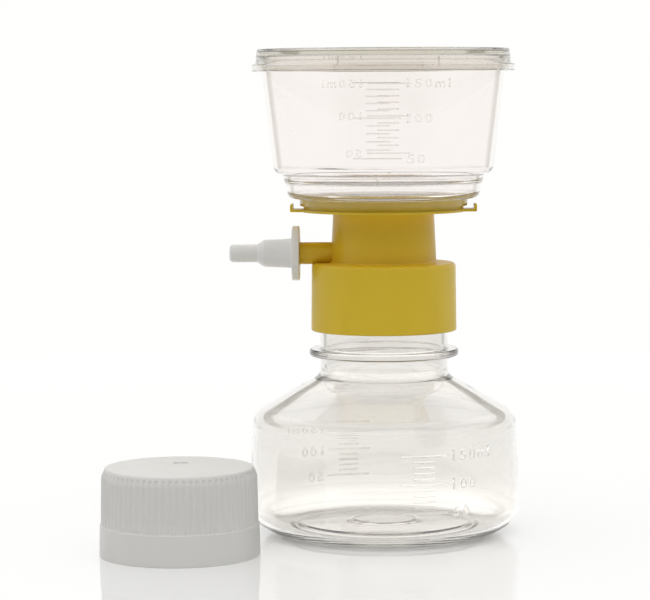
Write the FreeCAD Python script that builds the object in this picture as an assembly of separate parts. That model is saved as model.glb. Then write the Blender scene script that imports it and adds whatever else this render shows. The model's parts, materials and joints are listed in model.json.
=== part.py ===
"""Disposable vacuum filtration unit with its receiver bottle and storage cap.

Millimetres, +Z up. The origin is the centre of the bottle's foot, on the axis
of the bottle. The vacuum port points along -X and the front is -Y. Heights are
stacked from the bench upwards, so each piece stands on the one below it.
"""

import FreeCAD, Part
import math
import os

Vector = FreeCAD.Vector
AXIS = Vector(0, 0, 1)
ORIGIN = Vector(0, 0, 0)

# --- Fits -------------------------------------------------------------------
FREE_GAP = 0.3             # between curved faces that move past each other
SNUG_GAP = 0.05            # around a spigot or plug in its bore
OVERLAP = 0.3              # how far a rib or thread roots into its wall

# --- Receiver bottle --------------------------------------------------------
FOOT_RADIUS = 30.2         # inner edge of the flat ring that it stands on
FOOT_WIDTH = 1.8
FOOT_RISE = 1.5            # from the bench to the raised base inside the ring
BASE_SLOPE = 0.5           # further rise towards the middle of the base
GATE_WELL_RADIUS = 9.8
GATE_WELL_DEPTH = 0.6
GATE_WELL_BEVEL = 0.6
HEEL_TOE = 4.75            # flat run from the foot ring to the first heel corner
HEEL_HEIGHT = 5.56         # height of the second heel corner
HEEL_LOW_ROUND = 14.0
HEEL_HIGH_ROUND = 7.2
BODY_RADIUS = 44.8         # at the second heel corner
BODY_TAPER = 1.55          # how much narrower the body is at the shoulder corner
SIDE_HEIGHT = 33.64        # between the heel corner and the shoulder corner
SHOULDER_ANGLE = 30.0      # above the horizontal, degrees
SHOULDER_ROUND = 6.5
BASE_WALL = 1.5
BODY_WALL = 1.25
NECK_RADIUS = 20.9
NECK_WALL = 2.25
NECK_LENGTH = 33.9         # from the shoulder's upper corner to the mouth
NECK_ROUND = 4.0
MOUTH_ROUND = 0.5
BEAD_RADIUS = 24.5
BEAD_THICKNESS = 1.9
BEAD_DROP = 26.5           # from the mouth to the middle of the bead
BEAD_ROUND = 0.75
BEAD_DRAFT = 0.15

# --- Screw thread, shared by the neck, the collar and the cap ----------------
THREAD_PITCH = 4.0
THREAD_TURNS = 1.5
THREAD_HEIGHT = 1.2
THREAD_BASE = 2.2
THREAD_CREST = 1.0
THREAD_DROP = 10.0         # from the mouth to the start of the neck's thread

# --- Gasket -----------------------------------------------------------------
GASKET_THICKNESS = 1.2
GASKET_OVERHANG = 0.3      # how far it reaches inside the mouth

# --- Filter holder ----------------------------------------------------------
COLLAR_WALL = 1.2
COLLAR_DEPTH = 20.5        # from the underside of its roof to its lower edge
COLLAR_ROOF = 1.7
COLLAR_DRAFT = 0.25
COLLAR_ROUND = 1.3
COLLAR_LIP_ROUND = 0.35
THROAT_TOP_RADIUS = 16.55
THROAT_FOOT_RADIUS = 17.35
THROAT_HEIGHT = 16.8
THROAT_WALL = 1.4
THROAT_FOOT_FILLET = 0.8
THROAT_TOP_FILLET = 0.5
DISC_THICKNESS = 0.8
DISC_LIP = 0.6             # how far the disc reaches past its upright rim
RIM_WALL = 0.95
FUNNEL_DEPTH = 3.3
FUNNEL_MARGIN = 0.7        # flat ring between the funnel and the throat's bore
SPOUT_RADIUS = 4.6
SPOUT_WALL = 1.2
SPOUT_LENGTH = 25.0        # below the funnel's mouth
TAB_REACH = 3.7
TAB_WIDTH = 9.0
TAB_THICKNESS = 0.85
TAB_HOOK_HEIGHT = 2.5
TAB_HOOK_THICKNESS = 0.9
TAB_ROUND = 0.35
PORT_RADIUS = 3.62
PORT_BORE_RADIUS = 2.5
PORT_RISE = 3.1            # from the top of the collar to the port's axis
PORT_REACH = 27.6          # from the bottle's axis to the port's open end
PORT_EDGE_ROUND = 0.3

# --- Fibre plug, support plate and membrane ----------------------------------
PLUG_LENGTH = 3.6
PLUG_RECESS = 0.4          # between the plug and the adapter's spigot
PLATE_THICKNESS = 1.4
PLATE_HOLE_RADIUS = 1.1
PLATE_HOLE_SPACING = 5.0
PLATE_HOLE_RINGS = 4
MEMBRANE_RADIUS = 25.0
MEMBRANE_THICKNESS = 0.15

# --- Upper chamber ----------------------------------------------------------
CHAMBER_WALL = 1.2
CLAMP_WIDTH = 1.3
CLAMP_HEIGHT = 2.05
SKIRT_WALL = 1.0
SKIRT_DEPTH = 2.4
SHELF_OVERHANG = 3.8       # from the skirt's outside to the lowest step's corner
SHELF_ROUND = 2.2
LOW_STEP_HEIGHT = 4.8
LOW_STEP_FLARE = 0.5
BAND_STEP = 0.55
BAND_STEP_RISE = 0.4
BAND_HEIGHT = 2.8
BAND_FLARE = 0.5
LEDGE_WIDTH = 2.8
LEDGE_FILLET = 0.6
LEDGE_ROUND = 2.6
CHAMBER_SIDE_HEIGHT = 38.3
CHAMBER_DRAFT = 6.87       # degrees
BRIM_WIDTH = 0.3
BRIM_HEIGHT = 1.5
BRIM_ROUND = 0.3

# --- Lid --------------------------------------------------------------------
LID_WALL = 0.9
LID_PANEL = 1.2
LID_RIDGE_HEIGHT = 1.5
LID_RIDGE_WIDTH = 1.4
LID_RIDGE_SLOPE = 0.3
LID_DRAFT = 0.5
LID_DEPTH = 4.86           # from the underside of the panel to the lower edge
LID_BAND_HEIGHT = 2.7
LID_BAND_REACH = 0.65
LID_ROUND = 0.4
LID_RIBS = 8
LID_RIB_DEPTH = 0.5
LID_RIB_WIDTH = 0.8
LID_RIB_HEIGHT = 3.2
LID_RIB_START = -20.0      # first rib, in degrees from the front

# --- Tubing adapter ---------------------------------------------------------
SPIGOT_LENGTH = 6.0
SPIGOT_CHAMFER = 0.4
ADAPTER_FLANGE_RADIUS = 8.95
ADAPTER_FLANGE_THICKNESS = 2.5
ADAPTER_FLANGE_ROUND = 0.4
LARGE_BARB_ROOT_RADIUS = 4.85
LARGE_BARB_TIP_RADIUS = 4.4
LARGE_BARB_LENGTH = 9.2
BARB_CONE_LENGTH = 2.3
SMALL_BARB_RADIUS = 2.92
SMALL_BARB_LENGTH = 8.2
TIP_LENGTH = 0.8
TIP_RADIUS = 2.3
ADAPTER_BORE_RADIUS = 1.5

# --- Storage cap, standing mouth down in front of the bottle ------------------
CAP_X = -64.5
CAP_Y = -44.0
CAP_WALL = 1.7
CAP_HEIGHT = 27.7
CAP_ROOF = 1.9
CAP_TOP_ROUND = 1.8
CAP_SKIRT_HEIGHT = 10.2
CAP_SKIRT_STEP = 0.6
CAP_SKIRT_FLARE = 0.35
CAP_SKIRT_BEVEL = 0.35
CAP_RIBS = 72
CAP_RIB_DEPTH = 0.45
CAP_RIB_CREST_SHARE = 0.36
CAP_RIB_ROOT_SHARE = 0.74
CAP_RIB_TOP_DROP = 1.5     # from the top of the cap to the ribs' upper ends
CAP_SEAL_HEIGHT = 0.6
CAP_SEAL_WIDTH = 1.0
CAP_THREAD_START = 5.0
CAP_GATE_RADIUS = 2.4
CAP_GATE_DEPTH = 0.4
CAP_GATE_OFFSET = 7.5

# --- Heights that follow -----------------------------------------------------
shoulder_z = HEEL_HEIGHT + SIDE_HEIGHT
shoulder_radius = BODY_RADIUS - BODY_TAPER
neck_foot_z = shoulder_z + (shoulder_radius - NECK_RADIUS) * math.tan(math.radians(SHOULDER_ANGLE))
mouth_z = neck_foot_z + NECK_LENGTH
roof_z = mouth_z + GASKET_THICKNESS
collar_bottom_z = roof_z - COLLAR_DEPTH
collar_top_z = roof_z + COLLAR_ROOF
port_z = collar_top_z + PORT_RISE
disc_z = collar_top_z + THROAT_HEIGHT
floor_z = disc_z + DISC_THICKNESS
plate_top_z = floor_z + PLATE_THICKNESS
membrane_top_z = plate_top_z + MEMBRANE_THICKNESS
shelf_z = membrane_top_z + CLAMP_HEIGHT
band_z = shelf_z + LOW_STEP_HEIGHT
ledge_z = band_z + BAND_STEP_RISE + BAND_HEIGHT
chamber_top_z = ledge_z + CHAMBER_SIDE_HEIGHT
thread_start_z = mouth_z - THREAD_DROP

# --- Radii that follow -------------------------------------------------------
mouth_radius = NECK_RADIUS - NECK_WALL
thread_bore = NECK_RADIUS + THREAD_HEIGHT + 2 * FREE_GAP
collar_radius = thread_bore + COLLAR_WALL
collar_top_radius = collar_radius - COLLAR_DRAFT
holder_rim_bore = MEMBRANE_RADIUS + FREE_GAP
holder_rim_radius = holder_rim_bore + RIM_WALL
disc_radius = holder_rim_radius + DISC_LIP
tab_radius = disc_radius + TAB_REACH
clamp_radius = MEMBRANE_RADIUS - FREE_GAP
skirt_bore = holder_rim_radius + FREE_GAP
skirt_radius = skirt_bore + SKIRT_WALL
shelf_radius = skirt_radius + SHELF_OVERHANG
low_step_radius = shelf_radius + LOW_STEP_FLARE
band_radius = low_step_radius + BAND_STEP
band_top_radius = band_radius + BAND_FLARE
wall_foot_radius = band_top_radius + LEDGE_WIDTH
wall_top_radius = wall_foot_radius + CHAMBER_SIDE_HEIGHT * math.tan(math.radians(CHAMBER_DRAFT))
brim_radius = wall_top_radius + BRIM_WIDTH
lid_bore = brim_radius + FREE_GAP + LID_RIB_DEPTH
lid_radius = lid_bore + LID_WALL
spigot_radius = PORT_BORE_RADIUS - SNUG_GAP


def unit(a, b):
    """Unit vector from point a to point b, each (radius, height)."""
    length = math.hypot(b[0] - a[0], b[1] - a[1])
    return (b[0] - a[0]) / length, (b[1] - a[1]) / length


def turn_angle(before, corner, after):
    """Signed turn of a path at a corner, in radians, positive to the left."""
    u = unit(before, corner)
    v = unit(corner, after)
    return math.atan2(u[0] * v[1] - u[1] * v[0], u[0] * v[0] + u[1] * v[1])


def to_point(radius, height):
    """Point in the XZ plane."""
    return Vector(radius, 0, height)


def rounded_wire(corners):
    """Closed wire through corners (radius, height, rounding)."""
    count = len(corners)
    spans = []
    for index, corner in enumerate(corners):
        before = corners[index - 1]
        after = corners[(index + 1) % count]
        rounding = corner[2] if len(corner) > 2 else 0.0
        half = abs(turn_angle(before, corner, after)) / 2
        if rounding <= 0 or half < 1e-6:
            spans.append((corner[:2], None, corner[:2]))
            continue
        back = rounding * math.tan(half)
        u = unit(corner, before)
        v = unit(corner, after)
        start = (corner[0] + u[0] * back, corner[1] + u[1] * back)
        end = (corner[0] + v[0] * back, corner[1] + v[1] * back)
        bisector = unit((0, 0), (u[0] + v[0], u[1] + v[1]))
        reach = rounding / math.cos(half) - rounding
        middle = (corner[0] + bisector[0] * reach, corner[1] + bisector[1] * reach)
        spans.append((start, middle, end))
    edges = []
    for index, (start, middle, end) in enumerate(spans):
        if middle:
            edges.append(Part.Arc(to_point(*start), to_point(*middle), to_point(*end)).toShape())
        following = spans[(index + 1) % count][0]
        if math.hypot(following[0] - end[0], following[1] - end[1]) > 1e-6:
            edges.append(Part.makeLine(to_point(*end), to_point(*following)))
    return Part.Wire(edges)


def lathe(corners):
    """Solid of revolution about Z from corners (radius, height, rounding)."""
    return Part.Face(rounded_wire(corners)).revolve(ORIGIN, AXIS, 360)


def tube(inner_radius, outer_radius, low, high, rounding=0.0):
    """Plain ring about Z, with both outer edges rounded."""
    return lathe([
        (inner_radius, low),
        (outer_radius, low, rounding),
        (outer_radius, high, rounding),
        (inner_radius, high),
    ])


def disc(radius, low, high):
    """Plain cylinder about Z."""
    return Part.makeCylinder(radius, high - low, Vector(0, 0, low))


def inside_path(path, walls):
    """Path that lies one wall to the left of a path of rounded corners.

    walls gives the thickness along each straight run. A rounding is smaller
    or larger by the wall, so that the two faces stay parallel round a bend.
    The last run climbs, and both paths end at one height.
    """
    runs = []
    for start, end, wall in zip(path, path[1:], walls):
        along = unit(start, end)
        shift = (-along[1] * wall, along[0] * wall)
        runs.append(((start[0] + shift[0], start[1] + shift[1]), along))
    inner = [(runs[0][0][0], runs[0][0][1], 0.0)]
    for index in range(1, len(path) - 1):
        (p, u), (q, v) = runs[index - 1], runs[index]
        cross = u[0] * v[1] - u[1] * v[0]
        step = ((q[0] - p[0]) * v[1] - (q[1] - p[1]) * v[0]) / cross
        wall = (walls[index - 1] + walls[index]) / 2
        bend = math.copysign(wall, turn_angle(path[index - 1], path[index], path[index + 1]))
        rounding = max(path[index][2] - bend, 0.0) if path[index][2] else 0.0
        inner.append((p[0] + u[0] * step, p[1] + u[1] * step, rounding))
    (p, u) = runs[-1]
    step = (path[-1][1] - p[1]) / u[1]
    inner.append((p[0] + u[0] * step, path[-1][1], 0.0))
    return inner


def screw_thread(wall_radius, height, start_z):
    """Right-hand thread on a wall; a negative height stands inwards."""
    root = wall_radius - math.copysign(OVERLAP, height)
    crest = wall_radius + height
    flank = (THREAD_BASE - THREAD_CREST) / 2 / abs(height)
    root_width = THREAD_BASE + 2 * flank * OVERLAP
    section = Part.makePolygon([
        to_point(root, -root_width / 2),
        to_point(crest, -THREAD_CREST / 2),
        to_point(crest, THREAD_CREST / 2),
        to_point(root, root_width / 2),
        to_point(root, -root_width / 2),
    ])
    spine = Part.Wire(Part.makeHelix(THREAD_PITCH, THREAD_PITCH * THREAD_TURNS, root).Edges)
    thread = spine.makePipeShell([section], True, True)
    thread.translate(Vector(0, 0, start_z))
    return thread


def slab(points, width):
    """Prism of an outline in the XZ plane, centred on Y = 0."""
    prism = Part.Face(rounded_wire(points)).extrude(Vector(0, width, 0))
    prism.translate(Vector(0, -width / 2, 0))
    return prism


def lie_along_port(shape):
    """Turn a shape that was made about +Z so that +Z becomes -X, at the port."""
    shape.rotate(ORIGIN, Vector(0, 1, 0), -90)
    shape.translate(Vector(0, 0, port_z))
    return shape


def make_receiver_bottle():
    base_z = FOOT_RISE + BASE_SLOPE
    outside = [
        (0.0, base_z + GATE_WELL_DEPTH, 0.0),
        (GATE_WELL_RADIUS, base_z + GATE_WELL_DEPTH, 0.0),
        (GATE_WELL_RADIUS + GATE_WELL_BEVEL, base_z, 0.0),
        (FOOT_RADIUS - FOOT_RISE, FOOT_RISE, FOOT_RISE),
        (FOOT_RADIUS, 0.0, 0.0),
        (FOOT_RADIUS + FOOT_WIDTH + HEEL_TOE, 0.0, HEEL_LOW_ROUND),
        (BODY_RADIUS, HEEL_HEIGHT, HEEL_HIGH_ROUND),
        (shoulder_radius, shoulder_z, SHOULDER_ROUND),
        (NECK_RADIUS, neck_foot_z, NECK_ROUND),
        (NECK_RADIUS, mouth_z, MOUTH_ROUND),
    ]
    walls = [BASE_WALL] * 5 + [BODY_WALL] * 3 + [NECK_WALL]
    inside = inside_path(outside, walls)
    inside[-1] = inside[-1][:2] + (MOUTH_ROUND,)
    shell = lathe(outside + inside[::-1])
    bead_z = mouth_z - BEAD_DROP
    half = BEAD_THICKNESS / 2
    bead = lathe([
        (NECK_RADIUS - OVERLAP, bead_z - half - BEAD_DRAFT),
        (BEAD_RADIUS, bead_z - half, BEAD_ROUND),
        (BEAD_RADIUS, bead_z + half, BEAD_ROUND),
        (NECK_RADIUS - OVERLAP, bead_z + half + BEAD_DRAFT),
    ])
    thread = screw_thread(NECK_RADIUS, THREAD_HEIGHT, thread_start_z)
    return shell.fuse([bead, thread])


def make_neck_gasket():
    return tube(mouth_radius - GASKET_OVERHANG, thread_bore - FREE_GAP, mouth_z, roof_z)


def make_filter_holder():
    throat_bore_top = THROAT_TOP_RADIUS - THROAT_WALL
    throat_bore_foot = THROAT_FOOT_RADIUS - THROAT_WALL
    funnel_radius = throat_bore_top - FUNNEL_MARGIN
    spout_bore = SPOUT_RADIUS - SPOUT_WALL
    funnel_fall = FUNNEL_DEPTH * (funnel_radius - SPOUT_RADIUS) / (funnel_radius - spout_bore)
    body = lathe([
        (spout_bore, floor_z - FUNNEL_DEPTH - SPOUT_LENGTH),
        (SPOUT_RADIUS, floor_z - FUNNEL_DEPTH - SPOUT_LENGTH),
        (SPOUT_RADIUS, disc_z - funnel_fall),
        (funnel_radius, disc_z),
        (throat_bore_top, disc_z),
        (throat_bore_foot, roof_z),
        (thread_bore, roof_z),
        (thread_bore, collar_bottom_z),
        (collar_radius, collar_bottom_z, COLLAR_LIP_ROUND),
        (collar_top_radius, collar_top_z, COLLAR_ROUND),
        (THROAT_FOOT_RADIUS, collar_top_z, THROAT_FOOT_FILLET),
        (THROAT_TOP_RADIUS, disc_z, THROAT_TOP_FILLET),
        (disc_radius, disc_z),
        (disc_radius, floor_z),
        (holder_rim_radius, floor_z),
        (holder_rim_radius, shelf_z - FREE_GAP),
        (holder_rim_bore, shelf_z - FREE_GAP),
        (holder_rim_bore, floor_z),
        (funnel_radius, floor_z),
        (spout_bore, floor_z - FUNNEL_DEPTH),
    ])
    hook_top = disc_z + TAB_HOOK_HEIGHT
    tab = slab([
        (holder_rim_bore + RIM_WALL / 2, disc_z),
        (tab_radius, disc_z, TAB_ROUND),
        (tab_radius, hook_top, TAB_ROUND),
        (tab_radius - TAB_HOOK_THICKNESS, hook_top),
        (tab_radius - TAB_HOOK_THICKNESS, disc_z + TAB_THICKNESS, TAB_ROUND),
        (holder_rim_bore + RIM_WALL / 2, disc_z + TAB_THICKNESS),
    ], TAB_WIDTH)
    other_tab = tab.copy()
    other_tab.rotate(ORIGIN, AXIS, 180)
    port = lie_along_port(lathe([
        (0.0, throat_bore_foot),
        (PORT_RADIUS, throat_bore_foot),
        (PORT_RADIUS, PORT_REACH, PORT_EDGE_ROUND),
        (0.0, PORT_REACH),
    ]))
    port = port.cut(disc(throat_bore_foot, collar_top_z, disc_z))
    bore = lie_along_port(disc(PORT_BORE_RADIUS, SPOUT_RADIUS, PORT_REACH))
    bore = bore.cut(disc(SPOUT_RADIUS, roof_z, disc_z))
    thread = screw_thread(thread_bore, -THREAD_HEIGHT, thread_start_z - THREAD_PITCH / 2)
    return body.fuse([tab, other_tab, port, thread]).cut(bore)


def make_port_plug():
    back = PORT_REACH - SPIGOT_LENGTH - PLUG_RECESS
    return lie_along_port(disc(PORT_BORE_RADIUS - SNUG_GAP, back - PLUG_LENGTH, back))


def make_support_plate():
    plate = disc(MEMBRANE_RADIUS, floor_z, plate_top_z)
    holes = [disc(PLATE_HOLE_RADIUS, floor_z, plate_top_z)]
    for ring in range(1, PLATE_HOLE_RINGS + 1):
        count = 6 * ring
        for index in range(count):
            hole = disc(PLATE_HOLE_RADIUS, floor_z, plate_top_z)
            hole.translate(Vector(ring * PLATE_HOLE_SPACING, 0, 0))
            hole.rotate(ORIGIN, AXIS, 360 * index / count)
            holes.append(hole)
    return plate.cut(Part.makeCompound(holes))


def make_membrane():
    return disc(MEMBRANE_RADIUS, plate_top_z, membrane_top_z)


def make_upper_chamber():
    clamp_bore = clamp_radius - CLAMP_WIDTH
    outside = [
        (clamp_bore, shelf_z, 0.0),
        (shelf_radius, shelf_z, SHELF_ROUND),
        (low_step_radius, band_z, 0.0),
        (band_radius, band_z + BAND_STEP_RISE, 0.0),
        (band_top_radius, ledge_z, LEDGE_FILLET),
        (wall_foot_radius, ledge_z, LEDGE_ROUND),
        (wall_top_radius, chamber_top_z, 0.0),
    ]
    inside = inside_path(outside, [CHAMBER_WALL] * 6)
    shell = lathe(outside + inside[::-1])
    top_wall = (wall_top_radius - inside[-1][0]) / 2
    brim = tube(wall_top_radius - top_wall, brim_radius, chamber_top_z - BRIM_HEIGHT,
                chamber_top_z, BRIM_ROUND)
    skirt = tube(skirt_bore, skirt_radius, shelf_z - SKIRT_DEPTH, shelf_z + OVERLAP)
    clamp = tube(clamp_bore, clamp_radius, membrane_top_z, shelf_z + OVERLAP)
    return shell.fuse([brim, skirt, clamp])


def make_chamber_lid():
    low = chamber_top_z - LID_DEPTH
    panel_top = chamber_top_z + LID_PANEL
    ridge_top = panel_top + LID_RIDGE_HEIGHT
    ridge_radius = lid_radius - LID_DRAFT
    shell = lathe([
        (0.0, chamber_top_z),
        (lid_bore, chamber_top_z),
        (lid_bore, low),
        (lid_radius + LID_BAND_REACH, low, LID_ROUND),
        (lid_radius + LID_BAND_REACH, low + LID_BAND_HEIGHT, LID_ROUND),
        (lid_radius, low + LID_BAND_HEIGHT),
        (ridge_radius, ridge_top, LID_ROUND),
        (ridge_radius - LID_RIDGE_WIDTH, ridge_top, LID_ROUND),
        (ridge_radius - LID_RIDGE_WIDTH - LID_RIDGE_SLOPE, panel_top, LID_ROUND),
        (0.0, panel_top),
    ])
    ribs = []
    for index in range(LID_RIBS):
        rib = Part.makeBox(LID_RIB_DEPTH + OVERLAP, LID_RIB_WIDTH, LID_RIB_HEIGHT + OVERLAP)
        rib.translate(Vector(lid_bore - LID_RIB_DEPTH, -LID_RIB_WIDTH / 2, chamber_top_z - LID_RIB_HEIGHT))
        rib.rotate(ORIGIN, AXIS, LID_RIB_START - 90 + 360 * index / LID_RIBS)
        ribs.append(rib)
    return shell.fuse(ribs)


def make_hose_adapter():
    flange_end = PORT_REACH + ADAPTER_FLANGE_THICKNESS
    large_end = flange_end + LARGE_BARB_LENGTH
    small_start = large_end + BARB_CONE_LENGTH
    small_end = small_start + SMALL_BARB_LENGTH
    return lie_along_port(lathe([
        (ADAPTER_BORE_RADIUS, PORT_REACH - SPIGOT_LENGTH),
        (spigot_radius - SPIGOT_CHAMFER, PORT_REACH - SPIGOT_LENGTH),
        (spigot_radius, PORT_REACH - SPIGOT_LENGTH + SPIGOT_CHAMFER),
        (spigot_radius, PORT_REACH),
        (ADAPTER_FLANGE_RADIUS, PORT_REACH, ADAPTER_FLANGE_ROUND),
        (ADAPTER_FLANGE_RADIUS, flange_end, ADAPTER_FLANGE_ROUND),
        (LARGE_BARB_ROOT_RADIUS, flange_end, ADAPTER_FLANGE_ROUND),
        (LARGE_BARB_TIP_RADIUS, large_end, ADAPTER_FLANGE_ROUND),
        (SMALL_BARB_RADIUS, small_start),
        (SMALL_BARB_RADIUS, small_end),
        (TIP_RADIUS, small_end + TIP_LENGTH),
        (ADAPTER_BORE_RADIUS, small_end + TIP_LENGTH),
    ]))


def rib_outline(root_radius):
    """Closed outline round Z with a flat-topped rib in each pitch."""
    pitch = 2 * math.pi / CAP_RIBS
    points = []
    for index in range(CAP_RIBS):
        middle = index * pitch
        for share, radius in (
            (-CAP_RIB_ROOT_SHARE, root_radius),
            (-CAP_RIB_CREST_SHARE, root_radius + CAP_RIB_DEPTH),
            (CAP_RIB_CREST_SHARE, root_radius + CAP_RIB_DEPTH),
            (CAP_RIB_ROOT_SHARE, root_radius),
        ):
            angle = middle + share * pitch / 2
            points.append(Vector(radius * math.cos(angle), radius * math.sin(angle), 0))
    return Part.makePolygon(points + points[:1])


def make_storage_cap():
    root_radius = thread_bore + CAP_WALL
    crest_radius = root_radius + CAP_RIB_DEPTH
    skirt_top_radius = root_radius + CAP_SKIRT_STEP
    rib_top = CAP_HEIGHT - CAP_RIB_TOP_DROP
    body = lathe([
        (thread_bore, 0.0),
        (skirt_top_radius + CAP_SKIRT_FLARE, 0.0),
        (skirt_top_radius, CAP_SKIRT_HEIGHT - CAP_SKIRT_BEVEL),
        (root_radius, CAP_SKIRT_HEIGHT),
        (root_radius, CAP_HEIGHT, CAP_TOP_ROUND),
        (0.0, CAP_HEIGHT),
        (0.0, CAP_HEIGHT - CAP_ROOF),
        (thread_bore, CAP_HEIGHT - CAP_ROOF),
    ])
    ribs = Part.Face(rib_outline(root_radius)).extrude(Vector(0, 0, rib_top - CAP_SKIRT_HEIGHT + OVERLAP))
    ribs.translate(Vector(0, 0, CAP_SKIRT_HEIGHT - OVERLAP))
    rib_limit = lathe([
        (thread_bore + OVERLAP, 0.0),
        (crest_radius + OVERLAP, 0.0),
        (crest_radius + OVERLAP, rib_top - CAP_RIB_DEPTH - OVERLAP),
        (root_radius - OVERLAP, rib_top + OVERLAP),
        (thread_bore + OVERLAP, rib_top + OVERLAP),
    ])
    seal_radius = (NECK_RADIUS + mouth_radius) / 2
    seal = tube(seal_radius - CAP_SEAL_WIDTH / 2, seal_radius + CAP_SEAL_WIDTH / 2,
                CAP_HEIGHT - CAP_ROOF - CAP_SEAL_HEIGHT, CAP_HEIGHT - CAP_ROOF + OVERLAP)
    thread = screw_thread(thread_bore, -THREAD_HEIGHT, CAP_THREAD_START)
    gate = Part.makeCylinder(CAP_GATE_RADIUS, CAP_GATE_DEPTH,
                             Vector(0, CAP_GATE_OFFSET, CAP_HEIGHT - CAP_GATE_DEPTH))
    cap = body.fuse([ribs.common(rib_limit), seal, thread]).cut(gate)
    cap.translate(Vector(CAP_X, CAP_Y, 0))
    return cap


PIECES = {
    "receiver_bottle": make_receiver_bottle,
    "neck_gasket": make_neck_gasket,
    "filter_holder": make_filter_holder,
    "port_plug": make_port_plug,
    "support_plate": make_support_plate,
    "membrane": make_membrane,
    "upper_chamber": make_upper_chamber,
    "chamber_lid": make_chamber_lid,
    "hose_adapter": make_hose_adapter,
    "storage_cap": make_storage_cap,
}


def main():
    os.makedirs("parts", exist_ok=True)
    for name, make in PIECES.items():
        shape = make()
        solids = shape.Solids
        print(name, "valid" if shape.isValid() else "INVALID", len(solids), "solid,",
              round(shape.Volume), "mm3")
        (solids[0] if len(solids) == 1 else shape).exportStep("parts/" + name + ".step")


if __name__ == "__main__":
    main()
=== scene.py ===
"""Looks of a vacuum filtration unit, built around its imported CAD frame.

Metres, +Z up, the front towards -Y and the vacuum port towards -X. The clear
vessels are turned shells with rounded edges and a slightly uneven wall. The
opaque pieces keep their CAD meshes and get their finishes here.
"""

import json
import logging
import math
from dataclasses import dataclass
from enum import Enum
from typing import Any, Callable, ClassVar, Sequence

import bpy
import bmesh
from bpy.types import Material, Mesh, Node, NodeSocket, NodeTree, Object
from mathutils import Matrix, Vector

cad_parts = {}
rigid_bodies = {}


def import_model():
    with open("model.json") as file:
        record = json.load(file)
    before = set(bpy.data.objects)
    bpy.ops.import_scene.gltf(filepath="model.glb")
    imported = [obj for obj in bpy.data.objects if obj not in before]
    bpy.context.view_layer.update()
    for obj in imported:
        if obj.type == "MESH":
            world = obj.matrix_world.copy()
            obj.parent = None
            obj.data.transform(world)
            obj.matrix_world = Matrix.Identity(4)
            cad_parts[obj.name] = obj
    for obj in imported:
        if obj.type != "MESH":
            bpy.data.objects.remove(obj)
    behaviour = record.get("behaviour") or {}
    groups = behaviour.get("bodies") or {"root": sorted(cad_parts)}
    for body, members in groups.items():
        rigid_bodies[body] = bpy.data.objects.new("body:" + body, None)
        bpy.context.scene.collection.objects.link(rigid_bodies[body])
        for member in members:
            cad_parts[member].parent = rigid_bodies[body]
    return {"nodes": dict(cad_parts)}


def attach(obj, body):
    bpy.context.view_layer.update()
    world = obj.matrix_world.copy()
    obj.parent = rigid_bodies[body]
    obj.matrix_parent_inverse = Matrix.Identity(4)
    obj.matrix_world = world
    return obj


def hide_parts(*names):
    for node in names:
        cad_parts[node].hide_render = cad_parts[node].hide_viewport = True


for leftover in list(bpy.data.objects):
    bpy.data.objects.remove(leftover, do_unlink=True)

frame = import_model()
bpy.context.view_layer.update()

LOG = logging.getLogger("vacuum_filtration_unit")
MM = 0.001
FULL_TURN = 2 * math.pi
DIGIT_HEIGHT = 0.70  # of the font's size
STAND_OFF = 0.012  # millimetres between a wall and the marks on it
WHITE = (1.0, 1.0, 1.0, 1.0)

Colour = tuple[float, float, float]
Corner = tuple[float, float, float]
Value = Any


class Body(Enum):
    """CAD bodies that pieces ride on."""

    RECEIVER = "receiver"
    CAP = "cap"
    FILTER_HEAD = "filter_head"
    LID = "lid"


class Slot(Enum):
    """The record's material slots."""

    CLEAR = "clear_plastic"
    YELLOW = "yellow_plastic"
    CAP = "white_cap_plastic"
    ADAPTER = "white_adapter_plastic"
    SUPPORT = "white_support_plastic"
    MEMBRANE = "membrane_film"
    FIBRE = "fibre"
    SEAL = "seal_rubber"


# --- Node trees ---


def _operator(operation: str, first: bool = True) -> Callable[..., "Signal"]:
    """Make a method of Signal that adds one Math node.

    Args:
        operation: The Math node's operation.
        first: Whether the method's own signal is the first operand or the last.

    Returns:
        The method.
    """
    def method(signal: "Signal", *others: "Signal | float") -> "Signal":
        """Add the node, with the method's own signal first or last."""
        return signal.maths(operation, *others, first=first)
    return method


class Signal:
    """A node's output that Python's operators work on."""

    def __init__(self, graph: "Graph", socket: NodeSocket) -> None:
        """Wrap one socket of a graph."""
        self.graph, self.socket = graph, socket

    def maths(self, operation: str, *others: "Signal | float", first: bool = True) -> "Signal":
        """Add one Math node, with this signal as its first operand or its last."""
        operands = (self, *others) if first else (*others, self)
        return self.graph.signal("ShaderNodeMath", dict(enumerate(operands)), operation=operation)

    __add__ = __radd__ = _operator("ADD")
    __sub__, __rsub__ = _operator("SUBTRACT"), _operator("SUBTRACT", first=False)
    __mul__ = __rmul__ = _operator("MULTIPLY")
    __truediv__, __rtruediv__ = _operator("DIVIDE"), _operator("DIVIDE", first=False)
    __pow__, __mod__, __abs__ = map(_operator, ("POWER", "FLOORED_MODULO", "ABSOLUTE"))
    floor, sine, cosine = map(_operator, ("FLOOR", "SINE", "COSINE"))

    def ramp(self, low: float, high: float, start: float = 0.0, end: float = 1.0) -> "Signal":
        """Smooth step from start to end as this signal goes from low to high."""
        return self.graph.signal("ShaderNodeMapRange", {
            "Value": self, "From Min": low, "From Max": high, "To Min": start, "To Max": end},
            "Result", interpolation_type="SMOOTHSTEP")

    def between(self, low: float, in_full: float, fading: float, high: float) -> "Signal":
        """One from in_full to fading, with a smooth step to nothing at each side."""
        return self.ramp(low, in_full) * (1.0 - self.ramp(fading, high))


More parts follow.
